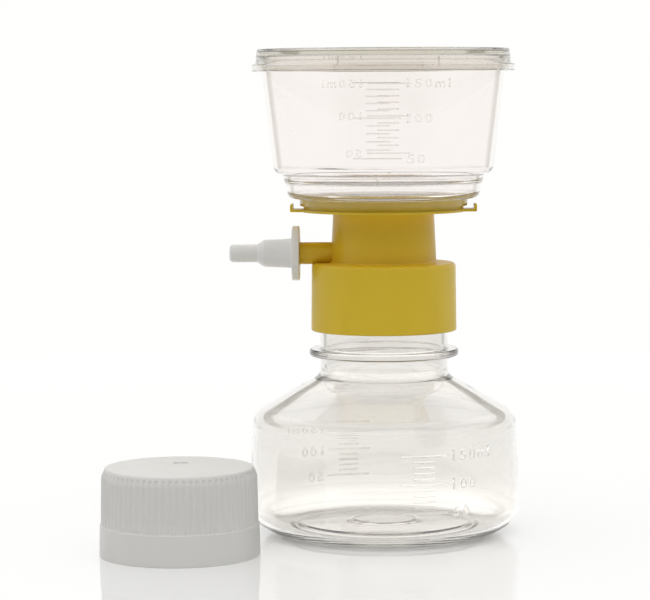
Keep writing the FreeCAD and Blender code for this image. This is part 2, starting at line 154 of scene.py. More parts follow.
class Graph:
    """A node tree under construction, for shading or for geometry."""

    def __init__(self, tree: NodeTree) -> None:
        """Empty the tree and build in it."""
        self.tree = tree
        tree.nodes.clear()

    def node(self, kind: str, values: dict[str | int, Value] | None = None,
             **settings: Any) -> Node:
        """Add one node.

        Args:
            kind: The node's type.
            values: Values or links by socket name or number.
            settings: Its properties, set before its sockets.

        Returns:
            The node.
        """
        made = self.tree.nodes.new(kind)
        for key, value in settings.items():
            setattr(made, key, value)
        for key, value in (values or {}).items():
            self.feed(made.inputs[key], value)
        return made

    def feed(self, socket: NodeSocket, value: Value) -> None:
        """Link a signal or a node's first output to a socket, or set its value.

        Args:
            socket: Input that receives the value.
            value: A signal, a node or a plain value.
        """
        if isinstance(value, Signal):
            self.tree.links.new(value.socket, socket)
        elif isinstance(value, Node):
            self.tree.links.new(value.outputs[0], socket)
        else:
            socket.default_value = value

    def signal(self, kind: str, values: dict[str | int, Value] | None = None,
               output: str | int = 0, **settings: Any) -> Signal:
        """Add one node, with the same arguments as node, and wrap one of its outputs."""
        return Signal(self, self.node(kind, values, **settings).outputs[output])

    def place(self, output: str = "Object") -> Signal:
        """Texture coordinates of one kind."""
        return self.signal("ShaderNodeTexCoord", output=output)

    def noise(self, place: Value, size: float, detail: float, **more: float) -> Signal:
        """Noise with waves of one size."""
        return self.signal("ShaderNodeTexNoise", {
            "Vector": place, "Scale": 1 / size, "Detail": detail, **more})

    def mix_colours(self, share: Value, first: Colour, second: Colour) -> Signal:
        """Blend two colours by a share from 0 to 1."""
        return self.signal("ShaderNodeMix", {
            0: share, 6: (*first, 1.0), 7: (*second, 1.0)}, 2, data_type="RGBA")

    def skin(self, tint: Value, roughness: Value, relief: Value, height: float,
             values: dict[str, Value]) -> Node:
        """Add a Principled shader with a relief of some height on its surface.

        Args:
            tint: Base colour.
            roughness: Roughness.
            relief: Shape of the relief, from 0 to 1.
            height: Height of the relief.
            values: The shader's other sockets.

        Returns:
            The shader.
        """
        bump = self.signal("ShaderNodeBump", {
            "Strength": 1.0, "Distance": height, "Height": relief})
        return self.node("ShaderNodeBsdfPrincipled", {
            "Base Color": tint, "Roughness": roughness, "Normal": bump, **values})

    def split(self, vector: Value) -> tuple[Signal, Signal, Signal]:
        """X, Y and Z of a vector."""
        made = self.node("ShaderNodeSeparateXYZ", {0: vector})
        return tuple(Signal(self, output) for output in made.outputs)

    def join(self, x: Value, y: Value, z: Value) -> Signal:
        """Vector from X, Y and Z."""
        return self.signal("ShaderNodeCombineXYZ", {0: x, 1: y, 2: z})


def new_material(name: str) -> tuple[Material, Graph, Signal]:
    """Make an empty material, the graph that fills it and its object coordinates.

    Args:
        name: Name of the material.

    Returns:
        The material, its graph and its object coordinates.
    """
    material = bpy.data.materials.new(name)
    material.use_nodes = True
    graph = Graph(material.node_tree)
    return material, graph, graph.place()


# --- Finishes ---


@dataclass(frozen=True)
class ClearPlastic:
    """Clear polystyrene: what it takes away face on, edge on and in its depth."""

    name: str
    face_tint: Colour
    edge_tint: Colour
    wave_size: float = 11 * MM
    wave_height: float = 0.006 * MM
    edge_power: float = 3.0
    index: float = 1.585
    smudge_size: float = 19 * MM
    haze: tuple[float, float] = (0.0048, 0.0264)
    depth_tint: Colour = (0.69, 0.65, 0.51)
    depth_density: float = 10.0

    def material(self) -> Material:
        """Build the material.

        Returns:
            The material.
        """
        material, graph, place = new_material(self.name)
        wave = graph.noise(place, self.wave_size, 2.0, Roughness=0.45)
        smudge = graph.noise(place, self.smudge_size, 4.0, Roughness=0.6)
        facing = graph.signal("ShaderNodeLayerWeight", {"Blend": 0.5}, "Facing")
        tint = graph.mix_colours(facing ** self.edge_power, self.face_tint, self.edge_tint)
        shader = graph.skin(tint, smudge.ramp(0.45, 0.85, *self.haze), wave, self.wave_height, {
            "IOR": self.index, "Transmission Weight": 1.0})
        depth = graph.node("ShaderNodeVolumeAbsorption", {
            "Color": (*self.depth_tint, 1.0), "Density": self.depth_density})
        graph.node("ShaderNodeOutputMaterial", {"Surface": shader, "Volume": depth})
        return material


@dataclass(frozen=True)
class MouldedPlastic:
    """Opaque or milky moulded plastic with faint flow marks and a fine skin."""

    name: str
    colour: Colour
    deep_colour: Colour
    roughness: float
    index: float = 1.47
    flow_size: float = 14 * MM
    flow_stretch: Colour = (1.0, 1.0, 0.45)
    grain_size: float = 0.35 * MM
    grain_height: float = 0.006 * MM
    milkiness: float = 0.0
    milk_depth: float = 1.2 * MM
    milk_radius: Colour = (1.0, 0.95, 0.85)
    colour_share: float = 0.5

    def material(self) -> Material:
        """Build the material.

        Returns:
            The material.
        """
        material, graph, place = new_material(self.name)
        stretched = graph.signal("ShaderNodeMapping", {
            "Vector": place, "Scale": self.flow_stretch})
        flow = graph.noise(stretched, self.flow_size, 3.0, Roughness=0.5, Distortion=0.6)
        grain = graph.noise(place, self.grain_size, 2.0)
        swirl = flow.ramp(0.3, 0.7) * self.colour_share
        tint = graph.mix_colours(swirl, self.colour, self.deep_colour)
        rough = flow.ramp(0.25, 0.75, self.roughness * 0.85, self.roughness * 1.15)
        shader = graph.skin(tint, rough, grain, self.grain_height, {
            "IOR": self.index, "Subsurface Weight": self.milkiness,
            "Subsurface Radius": self.milk_radius, "Subsurface Scale": self.milk_depth})
        graph.node("ShaderNodeOutputMaterial", {"Surface": shader})
        return material


@dataclass(frozen=True)
class Film:
    """Matt film or felt: a fine random tooth in colour and height."""

    name: str
    colour: Colour
    shade: Colour
    tooth_size: float = 0.25 * MM
    tooth_height: float = 0.02 * MM
    roughness: float = 0.85

    def material(self) -> Material:
        """Build the material.

        Returns:
            The material.
        """
        material, graph, place = new_material(self.name)
        tooth = graph.noise(place, self.tooth_size, 5.0, Roughness=0.7)
        tint = graph.mix_colours(tooth.ramp(0.35, 0.65), self.colour, self.shade)
        rough = tooth.ramp(0.3, 0.7, self.roughness - 0.08, self.roughness + 0.08)
        shader = graph.skin(tint, rough, tooth, self.tooth_height, {})
        graph.node("ShaderNodeOutputMaterial", {"Surface": shader})
        return material


# --- Profiles ---


def unit(start: Sequence[float], end: Sequence[float]) -> tuple[float, float]:
    """Unit vector between two points, each (radius, height)."""
    length = math.hypot(end[0] - start[0], end[1] - start[1])
    return (end[0] - start[0]) / length, (end[1] - start[1]) / length


def turn_angle(before: Sequence[float], corner: Sequence[float], after: Sequence[float]) -> float:
    """Signed turn at a corner in radians, positive to the left."""
    u, v = unit(before, corner), unit(corner, after)
    return math.atan2(u[0] * v[1] - u[1] * v[0], u[0] * v[0] + u[1] * v[1])


def inside_path(path: Sequence[Corner], walls: Sequence[float],
                roundest: float = 100.0) -> list[Corner]:
    """Path one wall to the left of a path of rounded corners.

    Args:
        path: Corners (radius, height, rounding).
        walls: Wall along each straight run.
        roundest: Largest rounding at a corner that turns away.

    Returns:
        Corners of the inner path, which ends at the outer path's own height.
    """
    runs = []
    for start, end, wall in zip(path, path[1:], walls):
        along = unit(start, end)
        runs.append(((start[0] - along[1] * wall, start[1] + along[0] * wall), along))
    inner = [(*runs[0][0], 0.0)]
    for index in range(1, len(path) - 1):
        (p, u), (q, v) = runs[index - 1], runs[index]
        cross = u[0] * v[1] - u[1] * v[0]
        step = ((q[0] - p[0]) * v[1] - (q[1] - p[1]) * v[0]) / cross
        wall = (walls[index - 1] + walls[index]) / 2
        bend = math.copysign(wall, turn_angle(path[index - 1], path[index], path[index + 1]))
        rounding = max(path[index][2] - bend, 0.0) if path[index][2] else 0.0
        rounding = min(rounding, roundest) if bend < 0 else rounding
        inner.append((p[0] + u[0] * step, p[1] + u[1] * step, rounding))
    p, u = runs[-1]
    step = (path[-1][1] - p[1]) / u[1]
    return [*inner, (p[0] + u[0] * step, path[-1][1], 0.0)]


@dataclass
class Profile:
    """A section of a turned body: corners (radius, height, rounding) in millimetres."""

    corners: list[Corner]
    closed: bool = False
    arc_step: float = math.radians(7)
    longest_run: float = 3.0
    shoulder: float = 0.12
    fine_zone: tuple[float, float] = (0.0, 0.0)
    fine_run: float = 0.25

    def points(self) -> list[tuple[float, float]]:
        """Points along the section, with each rounding spanned by an arc.

        Returns:
            Points (radius, height).
        """
        count = len(self.corners)
        made: list[tuple[float, float]] = []
        for index, corner in enumerate(self.corners):
            if not self.closed and index in (0, count - 1):
                self._add(made, corner[:2])
                continue
            before, after = self.corners[index - 1], self.corners[(index + 1) % count]
            for point in self._bend(before, corner, after):
                self._add(made, point)
        if self.closed:
            self._add(made, made[0])
        return made

    def _bend(self, before: Corner, corner: Corner, after: Corner) -> list[tuple[float, float]]:
        """Points of one corner's arc, with a close point on the run at each side.

        Args:
            before: Corner before this one.
            corner: The corner.
            after: Corner after it.

        Returns:
            Points (radius, height).
        """
        turn = turn_angle(before, corner, after)
        rounding, half = corner[2], abs(turn) / 2
        if rounding <= 0 or half < 1e-4:
            return [corner[:2]]
        back = rounding * math.tan(half)
        u, v = unit(corner, before), unit(corner, after)
        side = math.copysign(1.0, turn)
        start = (corner[0] + u[0] * back, corner[1] + u[1] * back)
        centre = (start[0] + u[1] * side * rounding, start[1] - u[0] * side * rounding)
        first = math.atan2(start[1] - centre[1], start[0] - centre[0])
        steps = max(3, math.ceil(abs(turn) / self.arc_step))
        room = min(self.shoulder, back)
        arc = [(start[0] + u[0] * room, start[1] + u[1] * room)]
        for step in range(steps + 1):
            angle = first + turn * step / steps
            arc.append((centre[0] + rounding * math.cos(angle),
                        centre[1] + rounding * math.sin(angle)))
        return [*arc, (arc[-1][0] + v[0] * room, arc[-1][1] + v[1] * room)]

    def _add(self, made: list[tuple[float, float]], point: tuple[float, float]) -> None:
        """Add a point, with the run up to it divided.

        Args:
            made: Points so far, which the new ones join.
            point: Point that the run leads to.
        """
        if made:
            last = made[-1]
            length = math.hypot(point[0] - last[0], point[1] - last[1])
            if length < 1e-5:
                return
            fine = self.fine_zone[0] < (last[1] + point[1]) / 2 < self.fine_zone[1]
            pieces = math.ceil(length / (self.fine_run if fine else self.longest_run))
            for step in range(1, pieces):
                share = step / pieces
                made.append((last[0] + (point[0] - last[0]) * share,
                             last[1] + (point[1] - last[1]) * share))
        made.append(point)


# --- Meshes ---


def new_object(name: str, data: bpy.types.ID) -> Object:
    """Put a mesh, a curve or a camera into the scene under a name.

    Args:
        name: Name of the object.
        data: Its mesh, curve or camera.

    Returns:
        The object.
    """
    made = bpy.data.objects.new(name, data)
    bpy.context.scene.collection.objects.link(made)
    return made


def settle(name: str, work: bmesh.types.BMesh,
           material: Material | None = None) -> Object:
    """Turn a mesh under construction into an object with its finish.

    Args:
        name: Name of the object and its mesh.
        work: Mesh under construction, which is freed.
        material: Its finish, if any.

    Returns:
        The object.
    """
    mesh = bpy.data.meshes.new(name)
    work.to_mesh(mesh)
    work.free()
    if material:
        mesh.materials.append(material)
    return new_object(name, mesh)


def span(work: bmesh.types.BMesh, lower: Sequence[bmesh.types.BMVert],
         upper: Sequence[bmesh.types.BMVert]) -> None:
    """Add the faces between two loops of as many points.

    Args:
        work: Mesh that the faces join.
        lower: Vertices of one loop.
        upper: Vertices of the other, in the same order.
    """
    for here in range(len(lower)):
        there = (here + 1) % len(lower)
        work.faces.new((lower[here], lower[there], upper[there], upper[here]))


def face_outwards(mesh: Mesh) -> None:
    """Turn a closed mesh right side out.

    Args:
        mesh: The mesh, changed in place.
    """
    work = bmesh.new()
    work.from_mesh(mesh)
    if work.calc_volume(signed=True) < 0:
        bmesh.ops.reverse_faces(work, faces=work.faces)
    work.to_mesh(mesh)
    work.free()


def plain_mesh(piece: Object) -> Mesh:
    """New mesh with the modifiers of an object worked in."""
    graph = bpy.context.evaluated_depsgraph_get()
    return bpy.data.meshes.new_from_object(piece.evaluated_get(graph))


class GeometryRule:
    """A geometry tree with named inputs that turns a base mesh into a finished one."""

    def __init__(self, name: str, sizes: Sequence[str], counts: Sequence[str] = ()) -> None:
        """Start the tree.

        Args:
            name: Name of the tree.
            sizes: Its inputs that are sizes.
            counts: Its inputs that are whole numbers.
        """
        self.tree = bpy.data.node_groups.new(name, "GeometryNodeTree")
        face = self.tree.interface
        face.new_socket("Geometry", in_out="INPUT", socket_type="NodeSocketGeometry")
        kinds = {**dict.fromkeys(sizes, "Float"), **dict.fromkeys(counts, "Int"),
                 "Material": "Material"}
        self.identifiers = {
            label: face.new_socket(
                label, in_out="INPUT", socket_type="NodeSocket" + kind).identifier
            for label, kind in kinds.items()}
        face.new_socket("Geometry", in_out="OUTPUT", socket_type="NodeSocketGeometry")
        self.graph = Graph(self.tree)
        self.entry = self.graph.node("NodeGroupInput")

    def given(self, label: str) -> Signal:
        """A named input."""
        return Signal(self.graph, self.entry.outputs[label])

    def moved(self, geometry: Value, x: Value, y: Value, z: Value) -> Node:
        """Geometry with its points moved to X, Y and Z."""
        return self.graph.node("GeometryNodeSetPosition", {
            "Geometry": geometry, "Position": self.graph.join(x, y, z)})

    def finish(self, geometry: Value) -> None:
        """End the tree: merge the seams, make instances real and set the material.

        Args:
            geometry: Geometry that the tree has made.
        """
        real = self.graph.node("GeometryNodeRealizeInstances", {0: geometry})
        merged = self.graph.node("GeometryNodeMergeByDistance", {
            "Geometry": real, "Distance": 0.0005 * MM})
        dressed = self.graph.node("GeometryNodeSetMaterial", {
            "Geometry": merged, "Material": self.given("Material")})
        self.graph.node("NodeGroupOutput", {0: dressed})

    def make(self, name: str, points: Sequence[Sequence[float]],
             values: dict[str, Any]) -> Object:
        """Run the tree on a row of points.

        Args:
            name: Name of the piece.
            points: Points that the tree starts from.
            values: Value of each named input.

        Returns:
            The piece, with a plain mesh and no modifier.
        """
        base = bpy.data.meshes.new(name + "_points")
        base.from_pydata(points, [], [])
        piece = new_object(name, base)
        modifier = piece.modifiers.new("rule", "NODES")
        modifier.node_group = self.tree
        for label, value in values.items():
            modifier[self.identifiers[label]] = value
        mesh = plain_mesh(piece)
        piece.modifiers.remove(modifier)
        piece.data = mesh
        mesh.name = name
        bpy.data.meshes.remove(base)
        face_outwards(mesh)
        return piece


@dataclass(frozen=True)
class Flutes:
    """Upright grooves round a turned wall. Sizes in millimetres."""

    count: int = 1
    depth: float = 0.0
    foot: float = 0.0
    top: float = 0.0


@dataclass(frozen=True)
class Unevenness:
    """Ripples and faint level rings that step back a wall. Sizes in millimetres."""

    ripple: float = 0.0
    ripple_size: float = 14.0
    seed: float = 0.0
    ring_depth: float = 0.0
    ring_pitch: float = 6.0
    ring_foot: float = 0.0
    ring_top: float = 0.0


class TurningRule(GeometryRule):
    """Turns a profile about Z into a closed shell with an uneven wall."""

    RING_FADE, ARCH_HEIGHT, FLUTE_FOOT_FADE, FLUTE_TOP_FADE = 3 * MM, 2.2 * MM, 0.25 * MM, 0.8 * MM
    INNER_PATTERN = 7.3

    def __init__(self) -> None:
        """Build the tree."""
        super().__init__("turned_shell", (
            "Ripple", "Ripple Size", "Seed", "Rings", "Ring Pitch", "Ring Foot", "Ring Top",
            "Flute Depth", "Flute Foot", "Flute Top"), ("Rows", "Segments", "Flutes"))
        graph, rows, segments = self.graph, self.given("Rows"), self.given("Segments")
        grid = graph.node("GeometryNodeMeshGrid", {
            "Vertices X": segments + 1, "Vertices Y": rows})
        index = graph.signal("GeometryNodeInputIndex")
        column = (index / rows + 0.5 / 100000).floor()
        row = index - column * rows
        profile = graph.signal("GeometryNodeSampleIndex", {
            "Geometry": self.given("Geometry"), "Value": graph.node("GeometryNodeInputPosition"),
            "Index": row}, data_type="FLOAT_VECTOR", domain="POINT")
        radius, _, height = graph.split(profile)
        seamless = (column / segments * FULL_TURN) % FULL_TURN
        east, north = seamless.cosine(), seamless.sine()
        inner_side = (row / rows).ramp(0.47, 0.53)
        ripple = graph.signal("ShaderNodeTexNoise", {
            "Vector": graph.join(radius * east, radius * north, height * 0.6),
            "W": self.given("Seed") + inner_side * self.INNER_PATTERN,
            "Scale": 1 / self.given("Ripple Size"), "Detail": 1.0}, noise_dimensions="4D")
        wide = radius.ramp(3 * MM, 12 * MM)
        rings = (height / self.given("Ring Pitch") * FULL_TURN + ripple * 5.0).sine() * 0.5 + 0.5
        for room in (height - self.given("Ring Foot"), self.given("Ring Top") - height):
            rings = rings * (room / self.RING_FADE).ramp(0.0, 1.0)
        reach = radius - (ripple * self.given("Ripple") + rings * self.given("Rings")) * wide
        outside = (row / rows).maths("LESS_THAN", 0.5)
        reach = reach - self._flute(column / segments, height) * outside
        shaped = self.moved(grid, reach * east, reach * north, height)
        self.finish(graph.node("GeometryNodeSetShadeSmooth", {"Geometry": shaped}))

    def _flute(self, turn: Signal, height: Signal) -> Signal:
        """Depth of the upright grooves, each with an arched upper end.

        Args:
            turn: Share of a full turn.
            height: Height of the point.

        Returns:
            How far the wall steps back.
        """
        across = abs((turn * self.given("Flutes")) % 1.0 - 0.5) * 2.0
        groove = across.ramp(0.22, 0.70, 1.0, 0.0)
        arch_end = self.given("Flute Top") - across * across * self.ARCH_HEIGHT
        above_foot = ((height - self.given("Flute Foot")) / self.FLUTE_FOOT_FADE).ramp(0.0, 1.0)
        below_top = ((arch_end - height) / self.FLUTE_TOP_FADE).ramp(0.0, 1.0)
        return groove * above_foot * below_top * self.given("Flute Depth")

    def shell(self, name: str, profile: Profile, material: Material,
              segments: int = 224, uneven: Unevenness = Unevenness(),
              flutes: Flutes = Flutes()) -> Object:
        """Turn one profile.

        Args:
            name: Name of the piece.
            profile: Its section.
            material: Its finish.
            segments: Facets round the axis.
            uneven: How uneven its wall is.
            flutes: Upright grooves round the outside.

        Returns:
            The shell.
        """
        points = profile.points()
        sizes = {"Ripple": uneven.ripple, "Ripple Size": uneven.ripple_size,
                 "Rings": uneven.ring_depth, "Ring Pitch": uneven.ring_pitch,
                 "Ring Foot": uneven.ring_foot, "Ring Top": uneven.ring_top,
                 "Flute Depth": flutes.depth, "Flute Foot": flutes.foot, "Flute Top": flutes.top}
        return self.make(name, [(radius * MM, 0.0, height * MM) for radius, height in points], {
            "Rows": len(points), "Segments": segments, "Flutes": flutes.count,
            "Seed": uneven.seed, "Material": material,
            **{label: size * MM for label, size in sizes.items()}})


class GraduationRule(GeometryRule):
    """Raised lines that follow a round wall, one for each point of the base mesh.

    Each point holds the middle of a line along the wall and its height, and its
    Y holds the line's length.
    """

    END_SLOPE, SIDE_SLOPE = 0.02, 0.66

    def __init__(self) -> None:
        """Build the tree."""
        super().__init__("graduation_lines", (
            "Line Width", "Line Depth", "Foot Radius", "Foot Height", "Wall Slope", "Gap",
            "Azimuth"))
        graph = self.graph
        bar = graph.node("GeometryNodeMeshCube", {
            "Size": (1.0, 1.0, 1.0), "Vertices X": 9, "Vertices Y": 2, "Vertices Z": 3})
        along, proud, across = graph.split(graph.node("GeometryNodeInputPosition"))
        lift = proud + 0.5
        ridge = self.moved(
            bar, along * (1.0 - lift * self.END_SLOPE), lift * self.given("Line Depth"),
            across * (1.0 - lift * self.SIDE_SLOPE) * self.given("Line Width"))
        middle, length, level = graph.split(graph.node("GeometryNodeInputPosition"))
        stored = graph.node("GeometryNodeCaptureAttribute", {
            "Geometry": self.given("Geometry")}, domain="POINT")
        stored.capture_items.new("FLOAT", "length")
        graph.feed(stored.inputs["length"], length)
        placed = self.moved(stored, middle, 0.0, level)
        lines = graph.node("GeometryNodeInstanceOnPoints", {
            "Points": placed, "Instance": ridge,
            "Scale": graph.join(Signal(graph, stored.outputs["length"]), 1.0, 1.0)})
        real = graph.node("GeometryNodeRealizeInstances", {0: lines})
        x, y, z = graph.split(graph.node("GeometryNodeInputPosition"))
        above = z - self.given("Foot Height")
        wall = self.given("Foot Radius") + above * self.given("Wall Slope")
        angle = x / wall + self.given("Azimuth")
        reach = wall + y + self.given("Gap")
        bent = self.moved(real, reach * angle.sine(), reach * angle.cosine() * -1.0, z)
        opposite = graph.node("GeometryNodeTransform", {
            "Geometry": bent, "Rotation": (0.0, 0.0, math.pi)})
        both = graph.node("GeometryNodeJoinGeometry")
        graph.feed(both.inputs[0], bent)
        graph.feed(both.inputs[0], opposite)
        self.finish(both)


@dataclass
class RoundWall:
    """A round wall that marks stand on: its radius at a height and how it leans."""

    foot_radius: float
    foot_height: float
    slope: float = 0.0

    def wrap(self, along: float, height: float, proud: float, azimuth: float) -> Vector:
        """Point that lies along the wall from an azimuth, proud of its face.

        Args:
            along: Distance along the wall from the azimuth.
            height: Height of the point.
            proud: Distance out from the wall's face.
            azimuth: Angle about Z from the front, in radians.

        Returns:
            The point.
        """
        radius = self.foot_radius + (height - self.foot_height) * self.slope
        angle, reach = along / radius + azimuth, radius + proud
        return Vector((reach * math.sin(angle), -reach * math.cos(angle), height))


@dataclass
class Graduation:
    """A raised volume scale with numbers, and its twin on the far side of the wall."""

    name: str
    wall: RoundWall
    heights: dict[int, float]
    azimuth: float
    long_line: tuple[float, float]
    short_line: tuple[float, float]
    number_start: float
    number_height: float
    line_width: float = 0.44 * MM
    line_depth: float = 0.15 * MM
    number_depth: float = 0.16 * MM
    number_thinning: float = 0.07 * MM
    gap: float = STAND_OFF * MM
    number_stretch: float = 1.36
    number_spacing: float = 1.32

    def build(self, rule: GraduationRule, material: Material) -> list[Object]:
        """Make the lines and the numbers.

        Args:
            rule: Geometry tree that bends the lines.
            material: Their finish.

        Returns:
            The two pieces.
        """
        points = []
        for volume, height in self.heights.items():
            start, end = self.short_line if volume % 50 else self.long_line
            points.append(((start + end) / 2, end - start, height))
        lines = rule.make(self.name + "_lines", points, {
            "Line Width": self.line_width, "Line Depth": self.line_depth,
            "Foot Radius": self.wall.foot_radius, "Foot Height": self.wall.foot_height,
            "Wall Slope": self.wall.slope, "Gap": self.gap, "Azimuth": self.azimuth,
            "Material": material})
        return [lines, self._numbers(material)]

    def _numbers(self, material: Material) -> Object:
        """Raised numbers beside the long lines, bent round the wall on both sides.

        Args:
            material: Their finish.

        Returns:
            The numbers, as one piece.
        """
        work = bmesh.new()
        for volume, height in self.heights.items():
            if volume % 50:
                continue
            words = f"{volume}ml" if volume == max(self.heights) else str(volume)
            flat = self._letters(words)
            for turn in (0.0, math.pi):
                copied = flat.copy()
                for vertex in copied.vertices:
                    x, y, z = vertex.co
                    vertex.co = self.wall.wrap(
                        self.number_start + x, height + y - self.number_height / 2,
                        self.gap + max(z, 0.0), self.azimuth + turn)
                work.from_mesh(copied)
                bpy.data.meshes.remove(copied)
            bpy.data.meshes.remove(flat)
        bmesh.ops.remove_doubles(work, verts=work.verts, dist=0.002 * MM)
        bmesh.ops.recalc_face_normals(work, faces=work.faces)
        return settle(self.name + "_numbers", work, material)

    def _letters(self, words: str) -> Mesh:
        """Letters with sloping sides, standing on y = 0 from x = 0.

        Args:
            words: What they say.

        Returns:
            Their flat mesh.
        """
        curve = bpy.data.curves.new("letters", "FONT")
        curve.body = words
        curve.size = self.number_height / DIGIT_HEIGHT
        curve.bevel_depth, curve.bevel_resolution = self.number_depth, 0
        curve.offset = -self.number_thinning
        curve.space_character = self.number_spacing
        curve.resolution_u = 5
        carrier = new_object("letters", curve)
        mesh = plain_mesh(carrier)
        bpy.data.objects.remove(carrier)
        bpy.data.curves.remove(curve)
        left = min(vertex.co.x for vertex in mesh.vertices)
        mesh.transform(Matrix.Scale(self.number_stretch, 4, (1.0, 0.0, 0.0))
                       @ Matrix.Translation((-left, 0.0, 0.0)))
        return mesh


@dataclass(frozen=True)
class ScrewThread:
    """The right-hand thread that the neck and the cap share. Sizes in millimetres."""

    pitch: float = 4.0
    turns: float = 1.5
    height: float = 1.2
    base: float = 2.2
    crest: float = 1.0
    steps_per_turn: int = 72
    run_out: int = 6

    def ridge(self, name: str, wall_radius: float, side: float, start: float,
              material: Material) -> Object:
        """Make the ridge, with ends that run out.

        Args:
            name: Name of the piece.
            wall_radius: Radius that it stands on.
            side: 1 to stand outwards, -1 to stand inwards.
            start: Height at which it starts.
            material: Its finish.

        Returns:
            The ridge about Z.
        """
        steps = round(self.steps_per_turn * self.turns)
        section = ((0.0, -self.base / 2), (self.height, -self.crest / 2),
                   (self.height, self.crest / 2), (0.0, self.base / 2))
        work = bmesh.new()
        loops = []
        for step in range(steps + 1):
            angle = FULL_TURN * step / self.steps_per_turn
            level = start + self.pitch * step / self.steps_per_turn
            fade = min(1.0, step / self.run_out + 0.02, (steps - step) / self.run_out + 0.02)
            radii = [(wall_radius + side * out * fade, up) for out, up in section]
            loops.append([work.verts.new(Vector((
                radius * math.cos(angle), radius * math.sin(angle), level + up)) * MM)
                for radius, up in radii])
        for lower, upper in zip(loops, loops[1:]):
            span(work, lower, upper)
        work.faces.new(loops[0][::-1])
        work.faces.new(loops[-1])
        made = settle(name, work, material)
        face_outwards(made.data)
        return made


SCREW_THREAD = ScrewThread()


# --- The pieces ---


@dataclass
class SubAssembly:
    """Pieces that ride on one body. Their slot is listed here but not given to them."""

    body: ClassVar[Body]
    slot: ClassVar[Slot] = Slot.CLEAR
    turning: TurningRule
    graduations: GraduationRule

    def pieces(self) -> list[Object]:
        """Make the pieces, the shell first."""
        raise NotImplementedError

    def build(self) -> list[Object]:
        """Make the pieces and put them on their body.

        Returns:
            The pieces, the shell first.
        """
        made = self.pieces()
        for piece in made:
            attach(piece, self.body.value)
        return made


@dataclass
class ReceiverBottle(SubAssembly):
    """Clear receiver bottle: a thin blown body under a thick neck. Sizes in millimetres."""

    body = Body.RECEIVER
    finish: ClearPlastic
    marks: ClearPlastic
    foot_radius: float = 30.2
    foot_width: float = 1.8
    foot_rise: float = 1.5
    base_slope: float = 0.5
    well_radius: float = 9.8
    well_depth: float = 0.6
    well_bevel: float = 1.1
    heel_toe: float = 4.75
    heel_height: float = 5.56
    heel_low_round: float = 14.0
    heel_high_round: float = 7.2
    body_radius: float = 44.8
    body_taper: float = 1.55
    side_height: float = 33.64
    shoulder_angle: float = 30.0
    shoulder_round: float = 6.5
    base_wall: float = 1.5
    body_wall: float = 1.25
    neck_radius: float = 20.9
    neck_wall: float = 1.8
    neck_length: float = 33.9
    neck_round: float = 4.0
    neck_inner_round: float = 3.2
    mouth_round: float = 0.5
    bead_radius: float = 24.5
    bead_thickness: float = 2.3
    bead_drop: float = 26.5
    bead_round: float = 0.75
    bead_root_round: float = 0.5
    thread_drop: float = 10.0
    full_line_height: float = 30.27
    line_step: float = 1.784
    scale_azimuth: float = 17.0

    @property
    def shoulder_z(self) -> float:
        """Height of the shoulder's lower corner."""
        return self.heel_height + self.side_height

    @property
    def neck_foot_z(self) -> float:
        """Height at which the shoulder would meet the neck."""
        rise = math.tan(math.radians(self.shoulder_angle))
        return self.shoulder_z + (self.body_radius - self.body_taper - self.neck_radius) * rise

    @property
    def mouth_z(self) -> float:
        """Height of the mouth."""
        return self.neck_foot_z + self.neck_length

    def profile(self) -> Profile:
        """Section from the middle of the base, round the mouth and back inside.

        Returns:
            The section.
        """
        base_z = self.foot_rise + self.base_slope
        well_z = base_z + self.well_depth
        outside = [
            (0.0, well_z, 0.0),
            (self.well_radius, well_z, 0.25),
            (self.well_radius + self.well_bevel, base_z, 0.3),
            (self.foot_radius - self.foot_rise, self.foot_rise, self.foot_rise),
            (self.foot_radius, 0.0, 0.2),
            (self.foot_radius + self.foot_width + self.heel_toe, 0.0, self.heel_low_round),
            (self.body_radius, self.heel_height, self.heel_high_round),
            (self.body_radius - self.body_taper, self.shoulder_z, self.shoulder_round),
            (self.neck_radius, self.neck_foot_z, self.neck_round),
            (self.neck_radius, self.mouth_z, self.mouth_round),
        ]
        inside = inside_path(
            outside, [self.base_wall] * 5 + [self.body_wall] * 3 + [self.neck_wall])
        inside[-1] = (*inside[-1][:2], self.mouth_round)
        inside[-2] = (*inside[-2][:2], self.neck_inner_round)
        low = self.mouth_z - self.bead_drop - self.bead_thickness / 2
        high = low + self.bead_thickness
        bead = [
            (self.neck_radius, low, self.bead_root_round),
            (self.bead_radius, low, self.bead_round),
            (self.bead_radius, high, self.bead_round),
            (self.neck_radius, high, self.bead_root_round),
        ]
        return Profile(outside[:-1] + bead + outside[-1:] + inside[::-1], longest_run=1.6)

    def pieces(self) -> list[Object]:
        """Make the shell, the thread and the scale.

        Returns:
            The pieces, the shell first.
        """
        material = self.finish.material()
        shell = self.turning.shell("bottle_shell", self.profile(), material, uneven=Unevenness(
            ripple=0.05, ripple_size=17.0, seed=3.0, ring_depth=0.07, ring_pitch=5.6,
            ring_foot=self.shoulder_z - 3.0, ring_top=self.neck_foot_z + 4.0))
        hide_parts("receiver_bottle")
        thread = SCREW_THREAD.ridge("bottle_thread", self.neck_radius + 0.01, 1.0,
                                    self.mouth_z - self.thread_drop, material)
        slope = -self.body_taper / self.side_height
        scale = Graduation(
            name="bottle_scale",
            wall=RoundWall(self.body_radius * MM, self.heel_height * MM, slope),
            heights={volume: (self.full_line_height - (150 - volume) / 10 * self.line_step) * MM
                     for volume in range(50, 151, 10)},
            azimuth=math.radians(self.scale_azimuth),
            long_line=(-7.7 * MM, 7.7 * MM),
            short_line=(-3.7 * MM, 3.4 * MM),
            number_start=9.6 * MM,
            number_height=3.2 * MM,
            number_stretch=1.17,
            line_width=0.62 * MM,
            line_depth=0.23 * MM,
            number_depth=0.22 * MM,
            number_thinning=0.09 * MM)
        return [shell, thread, *scale.build(self.graduations, self.marks.material())]


